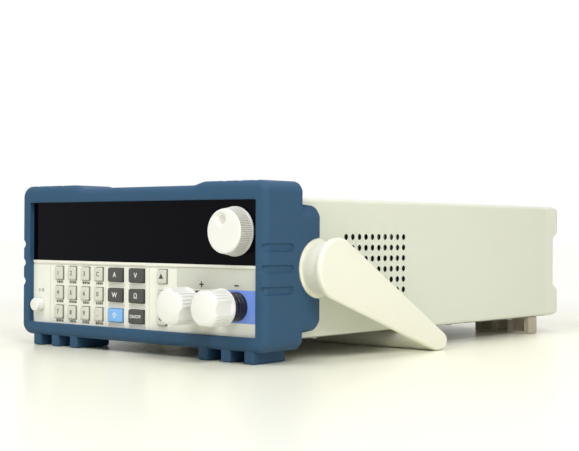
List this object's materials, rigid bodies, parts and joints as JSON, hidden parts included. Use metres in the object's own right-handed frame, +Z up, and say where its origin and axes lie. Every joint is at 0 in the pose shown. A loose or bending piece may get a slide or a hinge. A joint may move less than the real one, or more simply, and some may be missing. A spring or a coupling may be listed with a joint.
{
  "type": "dc electronic load",
  "caption": "Bench-top test load in a half-rack metal case with a rubber front bumper, keypad, dark display window, knob, two binding posts, folding bail handle and rear fan.",
  "frame": {"origin": "on the table under the middle of the whole outline, handle folded under the case", "axes": "+Z up, the panel faces -Y, +X to the right as seen from the front"},
  "size_m": [0.265, 0.401, 0.1112],
  "materials": {
    "bumper_rubber": "moulded, satin",
    "ivory_plastic": "fine moulded grain",
    "ivory_paint": "fine textured powder coat",
    "window_gloss": "polished smoked acrylic",
    "key_ivory": "satin",
    "key_grey": "satin",
    "key_blue": "satin",
    "post_red": "moulded",
    "post_black": "moulded",
    "plated_brass": "nickel plated",
    "steel": "zinc plated",
    "chrome_wire": "plated wire",
    "aluminium": "extruded",
    "core_iron": "laminated, varnished",
    "board": "solder mask",
    "keypad_rubber": "silicone",
    "dark_plastic": "moulded",
    "terminal_green": "moulded",
    "foot_rubber": "moulded"
  },
  "bodies": {
    "chassis": {"front_bumper": "bumper_rubber", "front_panel": "ivory_plastic", "display_window": "window_gloss", "display_module": "board", "rotary_encoder": "dark_plastic", "power_switch": "dark_plastic", "keypad_mat": "keypad_rubber", "control_board": "board", "positive_base": "post_red", "negative_base": "post_black", "post_hardware": "plated_brass", "top_cover": "ivory_paint", "bottom_chassis": "steel", "rear_bezel": "ivory_plastic", "rear_panel": "ivory_paint", "fan_frame": "dark_plastic", "fan_guard": "chrome_wire", "mains_inlet": "dark_plastic", "serial_socket": "steel", "sense_terminals": "terminal_green", "transformer": "core_iron", "heat_sink": "aluminium", "power_transistors": "dark_plastic", "main_board": "board", "standoffs": "plated_brass", "cover_screws": "steel", "rear_feet": "foot_rubber", "pivot_hubs": "ivory_plastic"},
    "handle": {"handle_arm_right": "ivory_plastic", "handle_arm_left": "ivory_plastic", "handle_grip": "ivory_plastic"},
    "knob": {"control_knob": "ivory_plastic", "encoder_shaft": "steel"},
    "button": {"power_button": "ivory_plastic"},
    "positive_washer": {"positive_washer": "plated_brass"},
    "negative_washer": {"negative_washer": "plated_brass"},
    "positive_cap": {"positive_cap": "ivory_plastic"},
    "negative_cap": {"negative_cap": "ivory_plastic"},
    "fan": {"fan_impeller": "dark_plastic"},
    "key_1": {"key_1": "key_ivory"},
    "key_2": {"key_2": "key_ivory"},
    "key_3": {"key_3": "key_ivory"},
    "key_clear": {"key_clear": "key_ivory"},
    "key_4": {"key_4": "key_ivory"},
    "key_5": {"key_5": "key_ivory"},
    "key_6": {"key_6": "key_ivory"},
    "key_0": {"key_0": "key_ivory"},
    "key_7": {"key_7": "key_ivory"},
    "key_8": {"key_8": "key_ivory"},
    "key_9": {"key_9": "key_ivory"},
    "key_point": {"key_point": "key_ivory"},
    "key_current": {"key_current": "key_grey"},
    "key_voltage": {"key_voltage": "key_grey"},
    "key_power": {"key_power": "key_grey"},
    "key_resistance": {"key_resistance": "key_grey"},
    "key_shift": {"key_shift": "key_blue"},
    "key_on_off": {"key_on_off": "key_grey"},
    "key_up": {"key_up": "key_ivory"},
    "key_down": {"key_down": "key_ivory"},
    "key_enter": {"key_enter": "key_ivory"}
  },
  "joints": [
    {"name": "handle_swing", "type": "hinge", "parent": "chassis", "child": "handle", "pos_m": [0, -0.1242, 0.0574], "axis": [-1, 0, 0], "range_deg": [0, 308]},
    {"name": "knob_turn", "type": "hinge", "parent": "chassis", "child": "knob", "pos_m": [0.08725, -0.1695, 0.0802], "axis": [0, -1, 0], "continuous": true},
    {"name": "button_press", "type": "slide", "parent": "chassis", "child": "button", "axis": [0, 1, 0], "range_m": [0, 0.0035], "stiffness_N_per_m": 600},
    {"name": "fan_spin", "type": "hinge", "parent": "chassis", "child": "fan", "pos_m": [0.018, 0.1655, 0.0574], "axis": [0, 1, 0], "continuous": true},
    {"name": "positive_clamp", "type": "slide", "parent": "chassis", "child": "positive_washer", "axis": [0, -1, 0], "range_m": [0, 0.004]},
    {"name": "positive_screw", "type": "hinge", "parent": "positive_washer", "child": "positive_cap", "pos_m": [0.05825, -0.1809, 0.0343], "axis": [0, -1, 0], "range_deg": [0, 1440]},
    {"name": "negative_clamp", "type": "slide", "parent": "chassis", "child": "negative_washer", "axis": [0, -1, 0], "range_m": [0, 0.004]},
    {"name": "negative_screw", "type": "hinge", "parent": "negative_washer", "child": "negative_cap", "pos_m": [0.08785, -0.1809, 0.0343], "axis": [0, -1, 0], "range_deg": [0, 1440]},
    {"name": "key_1_press", "type": "slide", "parent": "chassis", "child": "key_1", "axis": [0, 1, 0], "range_m": [0, 0.0012], "stiffness_N_per_m": 800},
    {"name": "key_2_press", "type": "slide", "parent": "chassis", "child": "key_2", "axis": [0, 1, 0], "range_m": [0, 0.0012], "stiffness_N_per_m": 800},
    {"name": "key_3_press", "type": "slide", "parent": "chassis", "child": "key_3", "axis": [0, 1, 0], "range_m": [0, 0.0012], "stiffness_N_per_m": 800},
    {"name": "key_clear_press", "type": "slide", "parent": "chassis", "child": "key_clear", "axis": [0, 1, 0], "range_m": [0, 0.0012], "stiffness_N_per_m": 800},
    {"name": "key_4_press", "type": "slide", "parent": "chassis", "child": "key_4", "axis": [0, 1, 0], "range_m": [0, 0.0012], "stiffness_N_per_m": 800},
    {"name": "key_5_press", "type": "slide", "parent": "chassis", "child": "key_5", "axis": [0, 1, 0], "range_m": [0, 0.0012], "stiffness_N_per_m": 800},
    {"name": "key_6_press", "type": "slide", "parent": "chassis", "child": "key_6", "axis": [0, 1, 0], "range_m": [0, 0.0012], "stiffness_N_per_m": 800},
    {"name": "key_0_press", "type": "slide", "parent": "chassis", "child": "key_0", "axis": [0, 1, 0], "range_m": [0, 0.0012], "stiffness_N_per_m": 800},
    {"name": "key_7_press", "type": "slide", "parent": "chassis", "child": "key_7", "axis": [0, 1, 0], "range_m": [0, 0.0012], "stiffness_N_per_m": 800},
    {"name": "key_8_press", "type": "slide", "parent": "chassis", "child": "key_8", "axis": [0, 1, 0], "range_m": [0, 0.0012], "stiffness_N_per_m": 800},
    {"name": "key_9_press", "type": "slide", "parent": "chassis", "child": "key_9", "axis": [0, 1, 0], "range_m": [0, 0.0012], "stiffness_N_per_m": 800},
    {"name": "key_point_press", "type": "slide", "parent": "chassis", "child": "key_point", "axis": [0, 1, 0], "range_m": [0, 0.0012], "stiffness_N_per_m": 800},
    {"name": "key_current_press", "type": "slide", "parent": "chassis", "child": "key_current", "axis": [0, 1, 0], "range_m": [0, 0.0012], "stiffness_N_per_m": 800},
    {"name": "key_voltage_press", "type": "slide", "parent": "chassis", "child": "key_voltage", "axis": [0, 1, 0], "range_m": [0, 0.0012], "stiffness_N_per_m": 800},
    {"name": "key_power_press", "type": "slide", "parent": "chassis", "child": "key_power", "axis": [0, 1, 0], "range_m": [0, 0.0012], "stiffness_N_per_m": 800},
    {"name": "key_resistance_press", "type": "slide", "parent": "chassis", "child": "key_resistance", "axis": [0, 1, 0], "range_m": [0, 0.0012], "stiffness_N_per_m": 800},
    {"name": "key_shift_press", "type": "slide", "parent": "chassis", "child": "key_shift", "axis": [0, 1, 0], "range_m": [0, 0.0012], "stiffness_N_per_m": 800},
    {"name": "key_on_off_press", "type": "slide", "parent": "chassis", "child": "key_on_off", "axis": [0, 1, 0], "range_m": [0, 0.0012], "stiffness_N_per_m": 800},
    {"name": "key_up_press", "type": "slide", "parent": "chassis", "child": "key_up", "axis": [0, 1, 0], "range_m": [0, 0.0012], "stiffness_N_per_m": 800},
    {"name": "key_down_press", "type": "slide", "parent": "chassis", "child": "key_down", "axis": [0, 1, 0], "range_m": [0, 0.0012], "stiffness_N_per_m": 800},
    {"name": "key_enter_press", "type": "slide", "parent": "chassis", "child": "key_enter", "axis": [0, 1, 0], "range_m": [0, 0.0012], "stiffness_N_per_m": 800}
  ],
  "couplings": [
    {"joint": "positive_clamp", "follows": "positive_screw", "m_per_rad": 0.00015915},
    {"joint": "negative_clamp", "follows": "negative_screw", "m_per_rad": 0.00015915}
  ]
}
